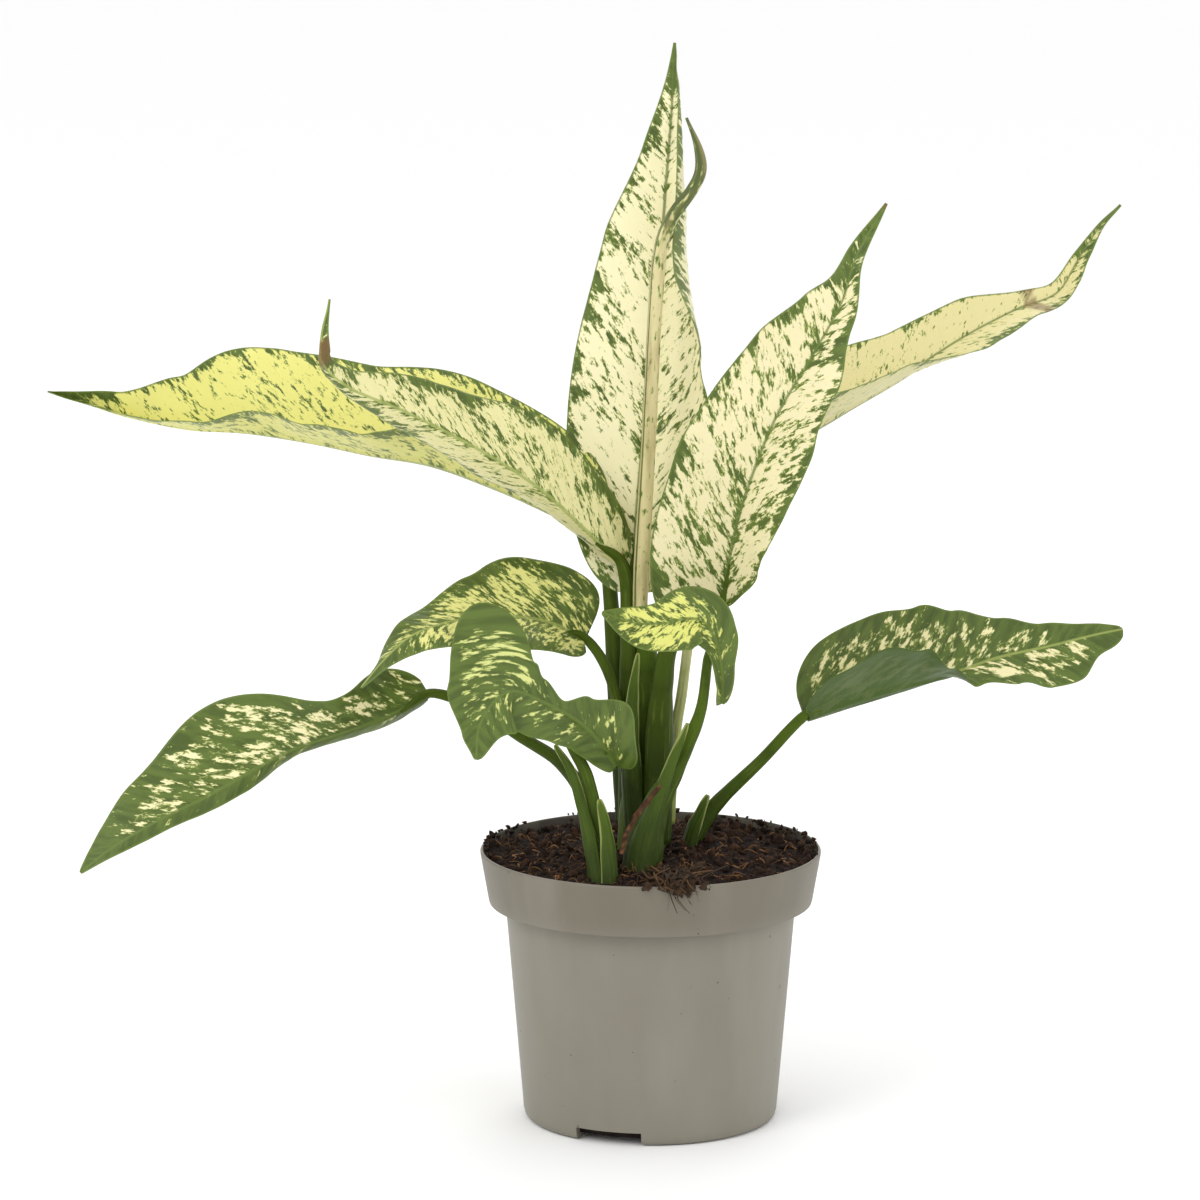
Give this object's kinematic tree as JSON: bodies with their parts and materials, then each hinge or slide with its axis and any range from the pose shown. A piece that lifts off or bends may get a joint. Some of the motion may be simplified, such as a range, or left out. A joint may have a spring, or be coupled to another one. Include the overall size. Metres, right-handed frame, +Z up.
{
  "type": "potted chinese evergreen",
  "caption": "House plant with broad pointed leaves, green splashed with cream, on long stalks, in a plain grey plastic nursery pot.",
  "frame": {"origin": "the middle of the pot's underside, on the pot's axis", "axes": "+Z is up along the pot's axis, -Y is the plant's front, +X is its right-hand side as seen from the front, and the leaves spread furthest along X"},
  "size_m": [0.3819, 0.1533, 0.3782],
  "materials": {
    "pot": "satin taupe-grey plastic",
    "soil": "moist dark peat with coir fibre",
    "stalk": "smooth green leaf stalk",
    "pale_blade": "satin leaf, cream with green flecks",
    "green_blade": "satin leaf, green with cream flecks",
    "dry_fibre": "dry brown plant fibre"
  },
  "bodies": {
    "root": {"pot": "pot", "soil": "soil", "stem_main": "stalk", "stem_left": "stalk", "stalk_upright": "stalk", "stalk_front_right": "stalk", "stalk_back_right": "stalk", "stalk_long_left": "stalk", "stalk_left_front": "stalk", "stalk_mid_left": "stalk", "stalk_front_small": "stalk", "stalk_right_small": "stalk", "stalk_low_left": "stalk", "stalk_low_right": "stalk", "leaf_upright": "pale_blade", "leaf_front_right": "pale_blade", "leaf_back_right": "pale_blade", "leaf_long_left": "pale_blade", "leaf_left_front": "pale_blade", "leaf_mid_left": "green_blade", "leaf_front_small": "green_blade", "leaf_right_small": "green_blade", "leaf_low_left": "green_blade", "leaf_low_right": "green_blade", "new_leaf": "pale_blade", "dry_sheath": "dry_fibre", "root_tuft": "dry_fibre"}
  },
  "joints": []
}
